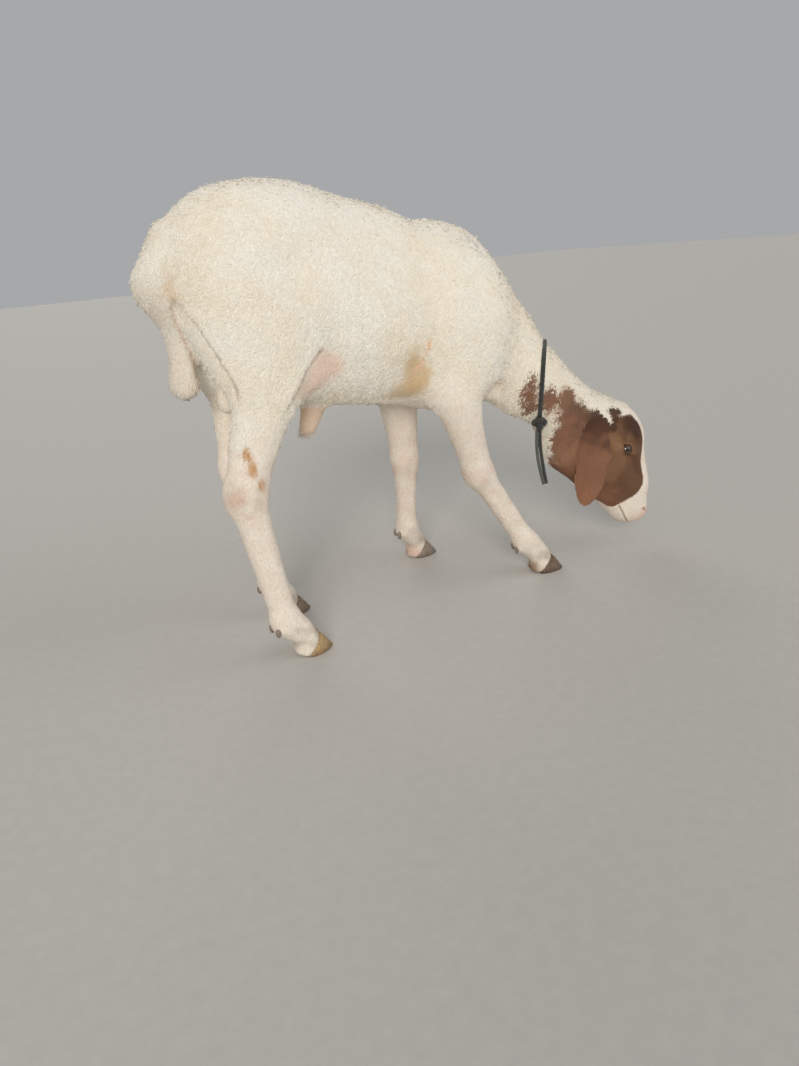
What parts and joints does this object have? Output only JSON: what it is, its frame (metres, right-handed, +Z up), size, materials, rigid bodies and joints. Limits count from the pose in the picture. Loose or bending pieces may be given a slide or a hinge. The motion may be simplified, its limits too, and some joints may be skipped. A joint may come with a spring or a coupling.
{
  "type": "sheep",
  "caption": "Life-size standing sheep, a lop-eared, short-woolled young ram with a brown face, its head lowered to feed, a thin cord collar round its neck.",
  "frame": {"origin": "on the floor, under the middle of the animal's box", "axes": "+X forwards along the animal, +Y to its left, +Z up"},
  "size_m": [0.8449, 0.2929, 0.6643],
  "materials": {
    "wool": "short curly cream-white wool",
    "brown_hair": "short smooth red-brown hair with a white blaze",
    "short_hair": "short smooth cream hair over pinkish skin",
    "bare_skin": "soft matt skin",
    "horn": "dull ridged horn",
    "eye": "wet gloss",
    "collar_cord": "dull dark braided cord",
    "loose_cord": "dull grey-green braided cord"
  },
  "bodies": {
    "root": {"trunk": "wool", "neck": "wool", "head": "brown_hair", "tail": "wool", "scrotum": "wool", "sheath": "bare_skin", "ear_right": "brown_hair", "eye_right": "eye", "ear_left": "brown_hair", "eye_left": "eye", "leg_front_right": "short_hair", "hoof_front_right_right": "horn", "hoof_front_right_left": "horn", "dewclaw_front_right_right": "horn", "dewclaw_front_right_left": "horn", "leg_front_left": "short_hair", "hoof_front_left_right": "horn", "hoof_front_left_left": "horn", "dewclaw_front_left_right": "horn", "dewclaw_front_left_left": "horn", "leg_hind_right": "short_hair", "hoof_hind_right_right": "horn", "hoof_hind_right_left": "horn", "dewclaw_hind_right_right": "horn", "dewclaw_hind_right_left": "horn", "leg_hind_left": "short_hair", "hoof_hind_left_right": "horn", "hoof_hind_left_left": "horn", "dewclaw_hind_left_right": "horn", "dewclaw_hind_left_left": "horn", "collar": "collar_cord", "collar_knot": "collar_cord", "collar_end_rear": "loose_cord", "collar_end_front": "loose_cord"}
  },
  "joints": []
}
